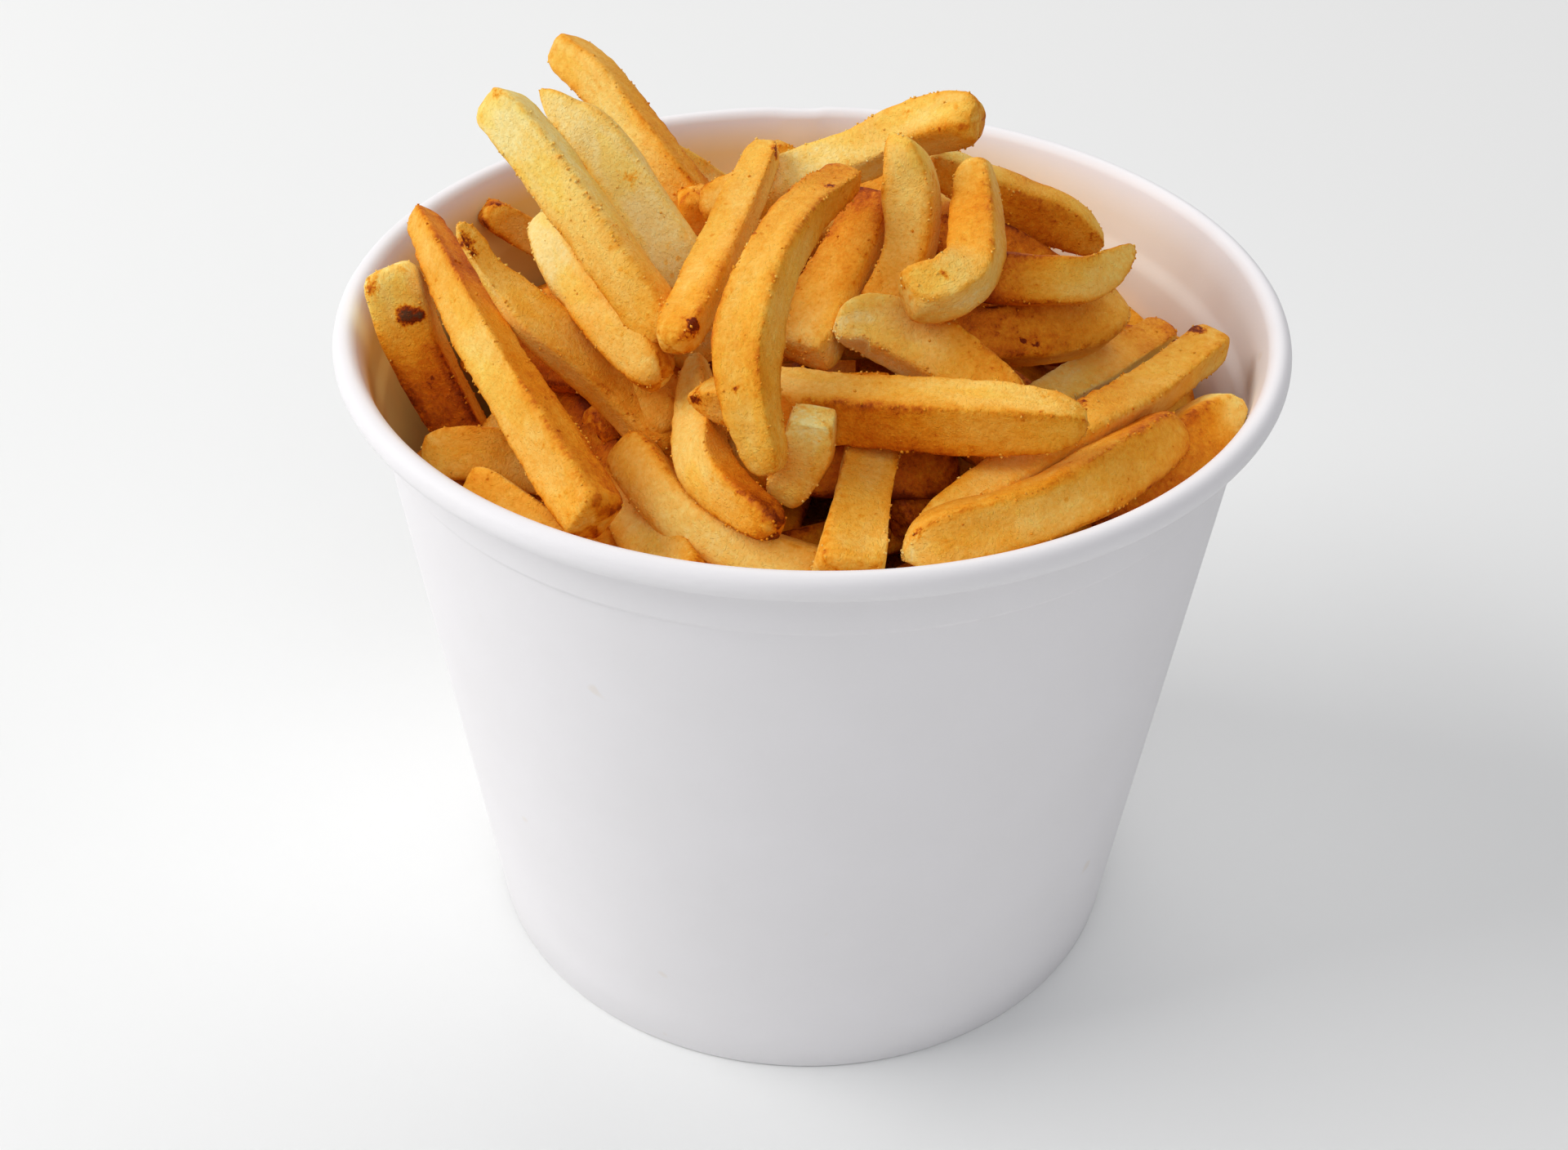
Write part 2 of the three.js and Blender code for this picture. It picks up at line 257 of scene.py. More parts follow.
# %% Screen colours
def colour(red, green, blue):
    """A screen colour, each part from 0 to 255, as the linear light that shaders use."""
    parts = [part / 255 for part in (red, green, blue)]
    return [p / 12.92 if p <= 0.04045 else ((p + 0.055) / 1.055) ** 2.4 for p in parts] + [1.0]


print("half grey on a screen is", round(colour(128, 128, 128)[0], 2), "of full light")

# %% [markdown]
# ## The paperboard
#
# Bucket board is matte and very slightly fibrous. Its surface isn't perfectly flat, so
# light rolls over it in soft broad waves. A faint mottle, a rare spot of grease and two
# reliefs, of fibres and of long waves, are enough: any more would look like plaster.
# Inside, the board is painted warm, as light bounced off the fries would make it. This is
# painted bounce light, most where the heap is high. The mesh stores how much at each point,
# because only the mesh knows which side of the board it is.

# %% The paperboard
paperboard = Finish("paperboard")
place = paperboard.node("ShaderNodeTexCoord", out="Object")
mottle = paperboard.noise(place, scale=60, detail=3)
fibres = paperboard.noise(paperboard.stretch(place, (1.0, 1.0, 2.5)), scale=1400)
waves = paperboard.noise(place, scale=28, detail=1)
grease = paperboard.noise(place, scale=150, detail=1).between(0.77, 0.83)
steeped = paperboard.attribute("steeped")
board_colour = paperboard.blend(mottle, colour(242, 240, 241), colour(247, 245, 247))
# painted bounce light: warm yellow where light from the fries would fall on the inner wall
board_colour = paperboard.blend(steeped, board_colour, colour(252, 218, 114))
board_colour = paperboard.blend(grease * 0.2, board_colour, colour(226, 205, 170))
board_relief = paperboard.relief(waves, 0.35 * MM, strength=0.5)
board_relief = paperboard.relief(fibres, 0.03 * MM, strength=0.5, under=board_relief)
paperboard.surface({
    "Base Color": board_colour,
    "Roughness": 0.52 + 0.1 * mottle,
    "Normal": board_relief,
})
print("paperboard nodes:", len(paperboard.tree.nodes))

# %% [markdown]
# ## The bucket
#
# The side wall is one curved sheet, glued in a seam where its ends overlap, and its top
# is curled outwards into a roll. A lathed outline gives all of that at once: it is
# turned round the axis in fine steps, and each point may move a little with the angle,
# which makes the roll as uneven as a pressed one and raises the seam at the back.

# %% Turning an outline round the axis
TURNS = 240
PINHOLE = 0.02 * MM  # a closed outline stays this far off the axis


def turned(name, outline, finish, drift=None):
    """A round closed piece from its outline of (radius, height) pairs in metres."""
    outline = np.array(outline)
    angles = np.linspace(0, 2 * np.pi, TURNS, endpoint=False)
    radius = np.repeat(outline[None, :, 0], TURNS, axis=0)
    height = np.repeat(outline[None, :, 1], TURNS, axis=0)
    if drift:
        radius, height = drift(radius, height, angles[:, None])
    points = np.stack([radius * np.cos(angles)[:, None], radius * np.sin(angles)[:, None], height], axis=-1)
    count = len(outline)
    faces = []
    for i in range(TURNS):
        here, there = i * count, (i + 1) % TURNS * count
        for j in range(count):
            k = (j + 1) % count
            faces.append((here + j, there + j, there + k, here + k))
    mesh = bpy.data.meshes.new(name)
    mesh.from_pydata(points.reshape(-1, 3).tolist(), [], faces)
    mesh.shade_smooth()
    mesh.materials.append(finish)
    piece = bpy.data.objects.new(name, mesh)
    scene.collection.objects.link(piece)
    return piece


print("a turned piece has", TURNS, "steps round the axis")


# %% Numbers at the points of a mesh
def read_points(holder, name, width=1):
    """One number or one vector per point, out of a mesh."""
    values = np.empty(len(holder) * width)
    holder.foreach_get(name, values)
    return values.reshape(-1, width) if width > 1 else values


def write_points(mesh, name, values):
    """One number or one vector per point, into a mesh, where its finish can read it."""
    kind, key = ("FLOAT", "value") if np.ndim(values) == 1 else ("FLOAT_VECTOR", "vector")
    layer = mesh.attributes.new(name, kind, "POINT")
    layer.data.foreach_set(key, np.ravel(values).astype(np.float32))


print("a mesh can carry a number or a vector at each of its points")


# %% The pattern of the side wall
BOARD = 0.6 * MM
FOOT_RADIUS = 60 * MM
ROLL = 4 * MM
ROLL_DEEP = 4.4 * MM
SHOULDER_DROP = 12.8 * MM
SHOULDER_STEP = 0.7 * MM
SHOULDER_RISE = 1.2 * MM

ROLL_FOOT = HEIGHT - ROLL_DEEP
SHOULDER = HEIGHT - SHOULDER_DROP
TAPER = (RIM_RADIUS - ROLL + BOARD / 2 - SHOULDER_STEP - FOOT_RADIUS) / HEIGHT


def outside(height, softness=0.0):
    """Outside radius of the side wall, with the shoulder that stops stacked buckets from jamming."""
    rise = (height - (SHOULDER - SHOULDER_RISE) + softness) / (SHOULDER_RISE + 2 * softness)
    rise = min(max(rise, 0), 1)
    return FOOT_RADIUS + TAPER * height + SHOULDER_STEP * rise * rise * (3 - 2 * rise)


print(f"the wall opens from {2000 * outside(0):.1f} to {2000 * outside(ROLL_FOOT):.1f} mm across")


# %% The outline of the side wall
SHOULDER_SOFT = 1.4 * MM
HEM = 7 * MM
GROOVE = 1.2 * MM
ROLL_TURN = np.radians(np.linspace(-118, 172, 26))  # from below its outer side round to the wall


def outer_side(low, high, steps):
    return [(outside(h), h) for h in np.linspace(low, high, steps)]


def inner_side(high, low, steps):
    """Inside the bucket the board turns the shoulder more softly."""
    return [(outside(h, SHOULDER_SOFT) - BOARD, h) for h in np.linspace(high, low, steps)]


roll_arc = [
    (RIM_RADIUS - ROLL / 2 + ROLL / 2 * math.cos(a), HEIGHT - ROLL_DEEP / 2 + ROLL_DEEP / 2 * math.sin(a))
    for a in ROLL_TURN
]
# Up the outer side, over the roll, down the inner side and round the hem, with the points
# closest together where the shoulder turns.
wall_outline = [
    *outer_side(0.4 * MM, SHOULDER - 1.6 * MM, 12),
    *outer_side(SHOULDER - 1.4 * MM, SHOULDER + 0.4 * MM, 8),
    *outer_side(SHOULDER + 0.8 * MM, ROLL_FOOT, 3),
    *roll_arc,
    *inner_side(ROLL_FOOT, SHOULDER + 2 * MM, 3),
    *inner_side(SHOULDER + 1.5 * MM, SHOULDER - 2.8 * MM, 10),
    *inner_side(SHOULDER - 3.2 * MM, BOARD, 8),
    (outside(BOARD) - BOARD - GROOVE, BOARD),
    (outside(HEM) - BOARD - GROOVE, HEM),
    (outside(HEM) - 2 * BOARD - GROOVE, HEM),
    (FOOT_RADIUS - 2 * BOARD - GROOVE + 0.2 * MM, 0.0),
    (FOOT_RADIUS - 0.3 * MM, 0.0),
]
print("the wall's outline has", len(wall_outline), "points")

# %% What rolling and gluing leave
ROLL_WAVES = [(7, 1, 1.0), (12, 2, 0.7), (23, 0, 0.5)]  # waves per turn, shift and share of each
ROLL_UNEVEN = 0.16 * MM
ROLL_LEAD = 1 * MM  # the roll's unevenness starts this far below it
SEAM_ANGLE = math.radians(92)
SEAM_WIDTH = 8 * MM
SEAM_STEP = 0.3 * MM
SEAM_CUT = 0.25 * MM  # how softly the seam's cut edge rises
SEAM_FADE = 0.8 * MM  # and how softly its other side falls
SEAM_FOOT = 10 * MM
SEAM_DIP = 0.25 * MM  # the overlap pulls the roll down
SEAM_TUCK = 0.35 * MM  # and in


def pressed_by_hand(radius, height, angle):
    """The roll's small unevenness, and the step of the glued seam."""
    near_roll = np.clip((height - (ROLL_FOOT - ROLL_LEAD)) / ROLL_DEEP, 0, 1)
    under_roll = near_roll * np.clip((HEIGHT - height) / ROLL_DEEP, 0, 1)
    uneven = sum(share * np.sin(count * angle + shift) for count, shift, share in ROLL_WAVES)
    height = height + ROLL_UNEVEN * uneven * under_roll
    across = (angle - SEAM_ANGLE) * radius
    step = 1 / (1 + np.exp(-(across + SEAM_WIDTH / 2) / SEAM_CUT))
    step = step / (1 + np.exp((across - SEAM_WIDTH / 2) / SEAM_FADE))
    inner = radius < np.vectorize(outside)(height) - BOARD / 2
    on_wall = (height > SEAM_FOOT) & (height < ROLL_FOOT)
    radius = radius + SEAM_STEP * step * np.where(inner, -1, 1) * on_wall
    height = height - SEAM_DIP * step * near_roll
    radius = radius - SEAM_TUCK * step * near_roll
    return radius, height


print(f"the seam's overlap is {SEAM_WIDTH / MM:.0f} mm wide")

# %% The side wall
side_wall = turned("paper_wall", wall_outline, paperboard.material, pressed_by_hand)
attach(side_wall, "root")
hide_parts("bucket_wall")
print("side wall:", len(side_wall.data.polygons), "faces")

# %% The painted bounce light inside the wall
BASE_LIFT = 8 * MM
TINT_TOP = ROLL_FOOT + 3.4 * MM
TINT_FADE = 6 * MM
TINT_EVEN = 0.5
TINT_SWING = 0.45
MOST_TINTED = math.radians(165)


def tint_at(x, y, z):
    """How much painted bounce light from the fries a point gets: none outside, and most beside the high
    fries.
    """
    if math.hypot(x, y) >= outside(z) - 0.4 * BOARD or z <= BASE_LIFT:
        return 0.0
    depth = min(max((TINT_TOP - z) / TINT_FADE, 0), 1)
    return depth * (TINT_EVEN + TINT_SWING * math.cos(math.atan2(y, x) - MOST_TINTED))


tints = [tint_at(*vertex.co) for vertex in side_wall.data.vertices]
write_points(side_wall.data, "steeped", tints)
print(f"the strongest tint is {max(tints):.2f}")

# %% [markdown]
# ## The bottom disc
#
# The bottom is a round of the same board, held off the table. Its edge is folded down
# into a skirt, which is glued inside the wall's hem. A flat disc would do for a bucket
# that is never lifted, but lathing it like the wall gives the fold and skirt as well.

# %% The bottom disc
DISC_GAP = 0.3 * MM
FOLD = 1.2 * MM
FOLD_DROP = 0.4 * MM
skirt_foot = BOARD + DISC_GAP
disc_rim = outside(BASE_LIFT) - BOARD - DISC_GAP
disc_outline = [
    (PINHOLE, BASE_LIFT),
    (disc_rim - BOARD - FOLD, BASE_LIFT),
    (disc_rim - BOARD - 0.2 * MM, BASE_LIFT - FOLD_DROP),
    (outside(skirt_foot) - 2 * BOARD - DISC_GAP, skirt_foot),
    (outside(skirt_foot) - BOARD - DISC_GAP, skirt_foot),
    (disc_rim, BASE_LIFT - FOLD_DROP),
    (disc_rim - 0.5 * MM, BASE_LIFT + 0.4 * MM),
    (disc_rim - FOLD, BASE_LIFT + BOARD),
    (PINHOLE, BASE_LIFT + BOARD),
]
bottom = turned("paper_bottom", disc_outline, paperboard.material)
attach(bottom, "root")
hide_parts("bucket_base")
print("bottom disc:", len(bottom.data.polygons), "faces")

# %% [markdown]
# ## The potato
#
# A fried potato has no single colour. Its faces are pale where they were covered and
# golden where they fried, its edges and ends brown first, and the sugar in it leaves
# freckles and a few dark spots. Each fry carries that history as numbers at its points:
# toast, edge, end and scorch, and stick, its place along and across its own fry, so that
# blotches follow the fry round its bends. On fries deep in the heap, and in places that
# other fries shade, the toast is also painted shade. The finish adds them up with noise
# into one measure of browning, and a ramp turns the browning into colour, so that
# everything that is brown is brown in the same way.

# %% The potato
potato = Finish("fried_potato")
place = potato.attribute("stick", out="Vector")
# the browning stored at each point, which deep in the heap is also painted shade
toast = potato.attribute("toast")
edge = potato.attribute("edge")
end = potato.attribute("end")
scorch = potato.attribute("scorch")

blotches = potato.noise(potato.stretch(place, (1.0, 1.0, 0.45)), scale=0.16, detail=3)
mottle = potato.noise(place, scale=0.6, detail=3, roughness=0.6)
grain = potato.noise(place, scale=1.7, roughness=0.6)
pale_grains_and_glints = potato.noise(place, scale=2.6, detail=1).between(0.55, 0.68)
oily = potato.noise(potato.stretch(place, (1.0, 1.0, 0.4)), scale=0.2).between(0.46, 0.6)
sparks = potato.node("ShaderNodeTexVoronoi", {"feature": "F1"}, {"Vector": place, "Scale": 0.5})
crust = potato.noise(place, scale=1.1, detail=3, roughness=0.6).between(0.36, 0.6)
spark_pick = potato.noise(place, scale=0.22, detail=1).between(0.58, 0.74)
freckles = (0.1 + 0.35 * grain - sparks).between(0.0, 0.12) * spark_pick
crumbly_edge = edge.between(0.3, 0.95) * (mottle + 0.5 * grain).between(0.62, 0.9)
beside_edge = edge.between(0.01, 0.35) * blotches.between(0.42, 0.62)

burnt = (scorch + 1.1 * (grain - 0.5) + 1.0 * (mottle - 0.5)).between(0.2, 1.0)
eye = (scorch + 0.8 * (grain - 0.5)).between(1.05, 1.35)

browning = (
    -0.01
    + 0.8 * toast
    + 0.48 * (blotches - 0.5)
    + 0.3 * (mottle - 0.5)
    + 0.24 * (grain - 0.5)
    + 0.12 * crumbly_edge
    # browner towards each face's edges: partly real, as edges fry first, and partly painted shade that
    # leaves the middle of each face lighter
    + 0.11 * edge**0.4
    + 0.08 * beside_edge
    + 0.14 * end * mottle.between(0.35, 0.6)
    + 0.22 * freckles
    + 0.6 * burnt
)
print("nodes that measure the browning:", len(potato.tree.nodes))

# %% From browning to colour
browning_steps = [
    (0.0, (0.99, 0.82, 0.34, 1)),
    (0.15, (0.99, 0.69, 0.18, 1)),
    (0.3, (0.97, 0.565, 0.112, 1)),
    (0.45, (0.92, 0.44, 0.048, 1)),
    (0.6, (0.83, 0.315, 0.014, 1)),
    (0.75, (0.64, 0.165, 0.003, 1)),
    (0.9, (0.37, 0.065, 0.001, 1)),
    (1.0, (0.18, 0.024, 0.001, 1)),
]
fried = potato.node("ShaderNodeValToRGB", {"stops": browning_steps}, {"Fac": browning})
fried = potato.blend(oily * 0.6, fried, (0.99, 0.88, 0.4, 1), how="MULTIPLY")
# pale grains of crust, and partly painted glints of light on them
fried = potato.blend(pale_grains_and_glints * 0.22, fried, (1.0, 0.9, 0.6, 1), how="SOFT_LIGHT")
fried = potato.blend(crust * 0.6, fried, (0.96, 0.84, 0.6, 1), how="MULTIPLY")
fried = potato.blend(eye * 0.85, fried, (0.1, 0.045, 0.018, 1))
print("the browning runs through", len(browning_steps), "colours")

# %% The skin of the potato
skin = potato.relief(mottle, 0.25 * MM, strength=0.45)
skin = potato.relief(grain, 0.22 * MM, strength=0.7, under=skin)
skin = potato.relief(pale_grains_and_glints, 0.1 * MM, strength=0.7, under=skin)
potato.surface({
    "Base Color": fried,
    "Roughness": 0.5 + 0.2 * grain,
    "Specular IOR Level": 0.12,
    "Normal": skin,
})
print("potato nodes:", len(potato.tree.nodes))

# %% [markdown]
# ## One fry
#
# A fry starts as a square stick. Frying rounds its edges, draws its faces in, and bends
# it. So each one is a squared ring carried along a smooth line, and every point is then
# pushed in or out by soft random waves. The rings are laid with numpy in one go, which
# takes a second for the whole heap where a modifier on each stick would take minutes.


# %% A smooth line through places
SPAN_POINTS = 40
FEWEST_STEPS = 6


def smooth_line(places, step):
    """Points every step along a Catmull-Rom curve, and the girth, browning and distance there."""
    usual = (1.0, 0.0)
    knots = np.array([[*place, *usual[len(place) - 3:]] for place in places], dtype=float)
    knots = np.vstack([2 * knots[0] - knots[1], knots, 2 * knots[-1] - knots[-2]])
    t = np.linspace(0, 1, SPAN_POINTS, endpoint=False)[:, None]
    spans = [
        0.5 * (2 * b + (c - a) * t + (2 * a - 5 * b + 4 * c - d) * t**2 + (3 * b - a - 3 * c + d) * t**3)
        for a, b, c, d in zip(knots, knots[1:], knots[2:], knots[3:])
    ]
    dense = np.vstack([*spans, knots[-2:-1]])
    walked = np.concatenate([[0], np.cumsum(np.linalg.norm(np.diff(dense[:, :3], axis=0), axis=1))])
    distance = np.linspace(0, walked[-1], max(FEWEST_STEPS, round(walked[-1] / step)))
    line = np.stack([np.interp(distance, walked, dense[:, i]) for i in range(5)], axis=1)
    return line[:, :3], line[:, 3], line[:, 4], distance


bow = [(0, 0, 0), (30, 0, 8), (60, 0, 0)]
print(f"a fry bowed by 8 mm in 60 mm is {smooth_line(bow, step=1.0)[3][-1]:.1f} mm long")


# %% Soft random waves
WAVES = 12


def ripple(places, size, seed):
    """A smooth random height, mostly between -1 and 1; size is how wide its bumps are."""
    rng = np.random.default_rng(seed)
    waves = rng.normal(size=(WAVES, 3)) * 2.2 / size
    shifts = rng.uniform(0, 2 * np.pi, WAVES)
    return np.sin(places @ waves.T + shifts).sum(axis=1) / 3.5


print("ripples along a fry:", np.round(ripple(np.array(bow), size=14, seed=1), 2))


# %% Which way a fry faces
FACING = np.array([0, -0.8, 0.6])  # forwards and up, so that turns are told as they are seen


def faces_of(line, turn):
    """Directions along a fry, up from its broad face and out from its narrow face, at each step."""
    along = np.gradient(line, axis=0)
    along /= np.linalg.norm(along, axis=1)[:, None]
    above = FACING - (along @ FACING)[:, None] * along
    above /= np.linalg.norm(above, axis=1)[:, None]
    beside = np.cross(along, above)
    turn = math.radians(turn)
    turned_above = above * math.cos(turn) + beside * math.sin(turn)
    turned_beside = beside * math.cos(turn) - above * math.sin(turn)
    return along, turned_above, turned_beside


print("unturned, a fry's broad face looks towards", FACING)

# %% The rings along a fry
CAP_SCALES = np.array([0.18, 0.5, 0.8, 0.95])
CAP_BULGES = 0.75 * np.sqrt(1 - CAP_SCALES**2)
ROUNDED_REACH = 4.5  # an end narrows over this many millimetres
ROUNDED_SHARE = 0.3  # or, on a short fry, over this share of its length


def rings_along(distance, ends):
    """Each ring's step on the line, its scale, and how far it bulges past that step at an end."""
    reach = min(ROUNDED_REACH, ROUNDED_SHARE * distance[-1])
    rounding = np.ones_like(distance)
    for blunt, away in ((ends[0], distance), (ends[1], distance[-1] - distance)):
        near = np.clip(1 - away / reach, 0, 1)
        rounding *= blunt + (1 - blunt) * np.sqrt(1 - near**2)
    count, caps = len(distance), len(CAP_SCALES)
    at = np.concatenate([np.zeros(caps, int), np.arange(count), np.full(caps, count - 1)])
    scale = np.concatenate([CAP_SCALES * rounding[0], rounding, CAP_SCALES[::-1] * rounding[-1]])
    past = np.concatenate([-CAP_BULGES * ends[0], np.zeros(count), CAP_BULGES[::-1] * ends[1]])
    return at, scale, past


print("each end of a fry is closed by", len(CAP_SCALES), "smaller rings")


# %% The square ring of a fry
def square_ring(count):
    """Places round a square with sides at -1 and 1, closer together at its corners."""
    side = np.linspace(-1, 1, count // 4, endpoint=False) + 4 / count
    side = 0.5 * side + 0.5 * side * (1.5 - 0.5 * side**2)
    one = np.ones_like(side)
    across = np.concatenate([side, one, -side, -one])
    up = np.concatenate([one, -side, -one, side])
    return across, up


print("one side of a ring of 24:", np.round(square_ring(24)[0][:6], 2))


# %% What frying leaves on a fry
def frying_marks(across, up, from_end, toast, browner, hollow):
    """Browning, edges, ends and sinking at every point of a fry's rings."""
    corner = np.minimum(np.abs(across), np.abs(up))
    broad = np.abs(up) ** 6 / (np.abs(across) ** 6 + np.abs(up) ** 6)
    browned = toast[0] * broad + toast[1] * (1 - broad)
    flat = (1 - corner**2)[None, :] * np.clip(from_end / 5, 0, 1)[:, None]
    return {
        "toast": (browned[None, :] + browner[:, None]).ravel(),
        "edge": np.repeat(corner[None, :] ** 5, len(from_end), axis=0).ravel(),
        "end": np.repeat(np.exp(-from_end / 2.5)[:, None], len(across), axis=1).ravel(),
        "sunken": (hollow * flat).ravel(),
    }


one = np.ones(1)
print("frying leaves", ", ".join(frying_marks(one, one, one, (0, 0), one, hollow=0)))

# %% A fry's points
APART = 97.0  # fries stand this far apart in the noise, so that no two share their blotches
SQUARENESS = 6.5  # 2 would be an oval, and more is squarer
SQUARENESS_SPREAD = 1.5
ENDS_SOFTER = 3
SOFTER_REACH = 1.5
SKEW = 0.08
WAVE = 0.05


def fry_points(number, section, ends, toast, places, step):
    """One fry: its rings of points in mm, and what each point remembers of the frying."""
    wide, thick, turn = section
    rng = np.random.default_rng(1000 + number)
    line, girth, browner, distance = smooth_line(places, step)
    along, above, beside = faces_of(line, turn)
    at, scale, past = rings_along(distance, ends)
    from_end = np.minimum(distance, distance[-1] - distance)[at]

    count = 4 * max(6, round((wide + thick) / 2 / step))
    u, v = square_ring(count)
    power = SQUARENESS + SQUARENESS_SPREAD * math.sin(2.7 * number)
    power = (power - ENDS_SOFTER * np.exp(-from_end / SOFTER_REACH))[:, None]
    soft = (np.abs(u) ** power + np.abs(v) ** power) ** (-1 / power)
    skew = rng.uniform(-SKEW, SKEW, 2)
    size = scale * girth[at]
    uneven = 1 + WAVE * np.sin(distance[at] / rng.uniform(5, 9) + rng.uniform(0, 6))
    local_x = (size * uneven)[:, None] * ((u + skew[0] * v) * soft) * wide / 2
    local_y = size[:, None] * ((v + skew[1] * u) * soft) * thick / 2
    local_z = np.repeat((distance[at] + past)[:, None], count, axis=1)

    centre = line[at] + along[at] * past[:, None]
    points = (
        centre[:, None, :]
        + local_x[..., None] * beside[at][:, None, :]
        + local_y[..., None] * above[at][:, None, :]
    )
    memory = frying_marks(u, v, from_end, toast, browner[at], hollow=rng.uniform(-0.12, 0.38))
    stick = np.stack([local_x, local_y, local_z], axis=-1).reshape(-1, 3)
    memory["stick"] = stick + [0, 0, APART * number]
    return points.reshape(-1, 3), memory, count, len(at)


trial = fry_points(0, (8, 7, 0), (0.8, 0.8), (0.5, 0.6), bow, step=1.0)
print(f"the bowed fry has {trial[3]} rings of {trial[2]} points")

# %% [markdown]
# ## Dark spots and the wall
#
# Where an eye or a bruise was left in the potato, or a corner touched hot metal, the fry
# has a dark spot, and the darkest of them stand a little proud. Noise could scatter such
# spots, but a heap has few of them and each one is noticed, so they are placed one by
# one. A second helper keeps every fry within the bucket: a soft fry bends when it meets
# the wall, and here its points are drawn towards the axis.

# %% Dark spots and the wall
SCORCHES = [  # each spot's place, radius and strength
    (-53.5, -14, 138.5, 1.5, 0.75), (-52.5, -15.5, 137, 1.2, 0.6), (-17.5, -33, 134.5, 1.4, 0.85),
    (-31.5, 8.5, 144.5, 1.2, 0.9), (-29.5, 3.5, 141, 1.2, 0.6), (-6, 13, 141.5, 1.3, 0.8),
    (2.5, -13.5, 148.5, 0.8, 0.9), (-10.5, -50, 134.5, 0.7, 0.7), (18.5, -5.5, 146, 1.2, 0.6),
    (19.5, -27, 141, 0.8, 0.9), (14, -28, 139.5, 0.5, 0.8), (14.5, 12.5, 149.5, 1.0, 0.8),
    (-65, -11, 123.5, 1.5, 1.4), (-63, -11, 123.5, 1.0, 1.4), (-71, -9, 127.5, 1.5, 0.9),
    (62.5, -6, 120.5, 1.7, 0.8), (40.5, -33.5, 123.5, 1.5, 0.5), (-17, -36, 124.5, 1.4, 0.7),
    (1, -51, 126.5, 0.7, 0.8), (33.5, -17.5, 124.5, 0.6, 0.9), (35.5, -17, 123.5, 0.6, 0.9),
    (37.5, -15, 129, 0.9, 0.6), (15.5, -61.5, 118.5, 1.0, 0.6), (-57, 38, 119, 1.2, 0.5),
    (48, 18, 124.5, 1.0, 0.5), (-49.5, 1, 156, 1.0, 0.5),
]
SPOT_SPREAD = 1.6  # a spot fades out at this many of its radii
WALL_CLEARANCE = 0.4


def scorched(points):
    """How dark the spots make each point, with full strength in the middle of a spot."""
    scorch = np.zeros(len(points))
    for x, y, z, radius, strength in SCORCHES:
        away = np.linalg.norm(points - [x, y, z], axis=1)
        scorch = np.maximum(scorch, strength * np.clip(SPOT_SPREAD - away / radius, 0, 1))
    return scorch


def kept_inside(points):
    """Draws points in towards the axis where they would pass through the side wall."""
    room = 1000 * (np.vectorize(outside)(points[:, 2] * MM) - BOARD) - WALL_CLEARANCE
    out = np.hypot(points[:, 0], points[:, 1])
    share = np.where(points[:, 2] < 1000 * HEIGHT, np.minimum(1, room / out), 1)
    return points * np.stack([share, share, np.ones_like(share)], axis=1)


print("dark spots:", len(SCORCHES))

# %% Joining fries into one piece
SKIN_WAVES = [(0.32, 14, 1), (0.13, 6, 2), (0.045, 2.2, 3)]  # height, width and seed of each, in mm
CRUMBLE = 0.12
SPOT_RISE = 0.8
RAISED_FROM = 0.9  # weaker spots than this lie flat


def unevenness(memory):
    """How far each point of a fry stands out from its plain shape, in mm."""
    stick = memory["stick"]
    height = sum(depth * ripple(stick, size, seed) for depth, size, seed in SKIN_WAVES)
    return height + CRUMBLE * memory["edge"] * ripple(stick, size=1.8, seed=4) - memory["sunken"]


def lay_fries(name, fries, step, first_number):
    """All fries of one kind as one mesh, with their unevenness and their browning."""
    all_points, faces, memories, start = [], [], [], 0
    for number, (section, ends, toast, places) in enumerate(fries, first_number):
        points, memory, count, rings = fry_points(number, section, ends, toast, places, step)
        index = start + np.arange(rings * count).reshape(rings, count)
        beside = np.roll(index, -1, axis=1)
        quads = np.stack([index[:-1], beside[:-1], beside[1:], index[1:]], axis=-1)
        faces += quads.reshape(-1, 4).tolist()
        faces += [index[0][::-1].tolist(), index[-1].tolist()]
        all_points.append(points)
        memories.append(memory)
        start += rings * count
    points = np.vstack(all_points)
    memory = {key: np.concatenate([m[key] for m in memories]) for key in memories[0]}

    mesh = bpy.data.meshes.new(name)
    mesh.from_pydata((points * MM).tolist(), [], faces)
    mesh.shade_smooth()
    normals = read_points(mesh.vertices, "normal", 3)
    points = kept_inside(points + normals * unevenness(memory)[:, None])
    memory["scorch"] = scorched(points)
    points += normals * SPOT_RISE * np.clip(memory["scorch"] - RAISED_FROM, 0, None)[:, None]
    mesh.vertices.foreach_set("co", (points * MM).ravel())
    for key in ("toast", "edge", "end", "scorch", "stick"):
        write_points(mesh, key, memory[key])
    mesh.materials.append(potato.material)
    piece = bpy.data.objects.new(name, mesh)
    scene.collection.objects.link(piece)
    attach(piece, "root")
    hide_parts("fries")
    print(f"{name}: {len(fries)} fries, {sum(len(f) - 2 for f in faces)} triangles")
    return piece


print(f"the skin's broadest waves are {SKIN_WAVES[0][1]} mm wide")
